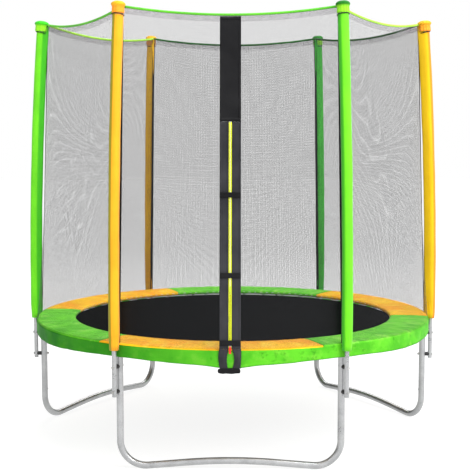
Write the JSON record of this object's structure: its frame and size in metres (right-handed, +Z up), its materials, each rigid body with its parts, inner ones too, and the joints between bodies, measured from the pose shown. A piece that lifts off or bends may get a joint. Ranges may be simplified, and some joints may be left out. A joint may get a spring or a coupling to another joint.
{
  "type": "trampoline",
  "caption": "Round garden trampoline with a padded spring cover, U-shaped legs, sleeved net poles and a zipped safety net.",
  "frame": {"origin": "on the ground, under the middle of the mat", "axes": "+Z up; the zipped door is on the -Y side; +X to the right seen from the door"},
  "size_m": [2.56, 2.4684, 2.5225],
  "materials": {
    "galvanised_tube": "galvanised, satin",
    "pole_tube": "galvanised, satin",
    "sleeve_orange": "coated polyester",
    "sleeve_green": "coated polyester",
    "cap_fabric": "coated polyester",
    "grey_foam": "closed-cell foam",
    "black_plastic": "moulded",
    "zinc_steel": "zinc plated",
    "mat_fabric": "woven polypropylene",
    "black_webbing": "webbing",
    "white_foam": "polyethylene foam",
    "green_vinyl": "PVC sheet, wrinkled",
    "yellow_vinyl": "PVC sheet, wrinkled",
    "net_mesh": "knitted mesh",
    "trim_green": "piping",
    "door_fabric": "coated polyester",
    "zip_yellow": "nylon coil",
    "pull_red": "moulded"
  },
  "bodies": {
    "frame": {"rail_1": "galvanised_tube", "rail_2": "galvanised_tube", "rail_3": "galvanised_tube", "rail_4": "galvanised_tube", "rail_5": "galvanised_tube", "rail_6": "galvanised_tube", "leg_upright_1": "galvanised_tube", "leg_upright_2": "galvanised_tube", "leg_upright_3": "galvanised_tube", "leg_upright_4": "galvanised_tube", "leg_upright_5": "galvanised_tube", "leg_upright_6": "galvanised_tube", "leg_base_1": "galvanised_tube", "leg_base_2": "galvanised_tube", "leg_base_3": "galvanised_tube", "pole_lower_1": "pole_tube", "pole_lower_2": "pole_tube", "pole_lower_3": "pole_tube", "pole_lower_4": "pole_tube", "pole_lower_5": "pole_tube", "pole_lower_6": "pole_tube", "pole_upper_1": "pole_tube", "pole_upper_2": "pole_tube", "pole_upper_3": "pole_tube", "pole_upper_4": "pole_tube", "pole_upper_5": "pole_tube", "pole_upper_6": "pole_tube", "pole_sleeve_1": "sleeve_orange", "pole_sleeve_2": "sleeve_green", "pole_sleeve_3": "sleeve_orange", "pole_sleeve_4": "sleeve_green", "pole_sleeve_5": "sleeve_orange", "pole_sleeve_6": "sleeve_green", "pole_caps": "cap_fabric", "foam_tubes": "grey_foam", "pole_spacers": "black_plastic", "pole_bolts": "zinc_steel", "pole_nuts": "zinc_steel", "frame_screws": "zinc_steel", "springs": "zinc_steel", "pad_foam": "white_foam", "pad_cover_green": "green_vinyl", "pad_cover_yellow": "yellow_vinyl", "pad_skirt": "green_vinyl", "pad_ties": "black_webbing", "net": "net_mesh", "net_trim": "trim_green", "net_loops": "black_webbing", "door_panel": "door_fabric", "door_tapes": "black_webbing", "zip_chain": "zip_yellow", "strap_patches": "black_webbing"},
    "bed": {"mat": "mat_fabric", "mat_webbing": "black_webbing", "v_rings": "zinc_steel"},
    "slider": {"zip_slider": "black_plastic"},
    "pull": {"zip_pull": "pull_red"},
    "strap_1": {"door_strap_1": "black_webbing"},
    "strap_2": {"door_strap_2": "black_webbing"},
    "strap_3": {"door_strap_3": "black_webbing"}
  },
  "joints": [
    {"name": "mat_bounce", "type": "slide", "parent": "frame", "child": "bed", "axis": [0, 0, 1], "range_m": [-0.3, 0], "stiffness_N_per_m": 5000, "springref_m": 0.02, "deforming": ["springs"]},
    {"name": "zip_slide", "type": "slide", "parent": "frame", "child": "slider", "axis": [0, 0.1315, 0.9913], "range_m": [0, 1.151]},
    {"name": "pull_swing", "type": "hinge", "parent": "slider", "child": "pull", "pos_m": [0, -1.23214, 0.71269], "axis": [-1, 0, 0], "range_deg": [0, 80]},
    {"name": "strap_open_1", "type": "hinge", "parent": "frame", "child": "strap_1", "pos_m": [-0.056, -1.2337, 0.73135], "axis": [0, -0.1315, -0.9913], "range_deg": [0, 150]},
    {"name": "strap_open_2", "type": "hinge", "parent": "frame", "child": "strap_2", "pos_m": [-0.056, -1.18726, 1.08136], "axis": [0, -0.1315, -0.9913], "range_deg": [0, 150]},
    {"name": "strap_open_3", "type": "hinge", "parent": "frame", "child": "strap_3", "pos_m": [-0.056, -1.13153, 1.50135], "axis": [0, -0.1315, -0.9913], "range_deg": [0, 150]}
  ]
}
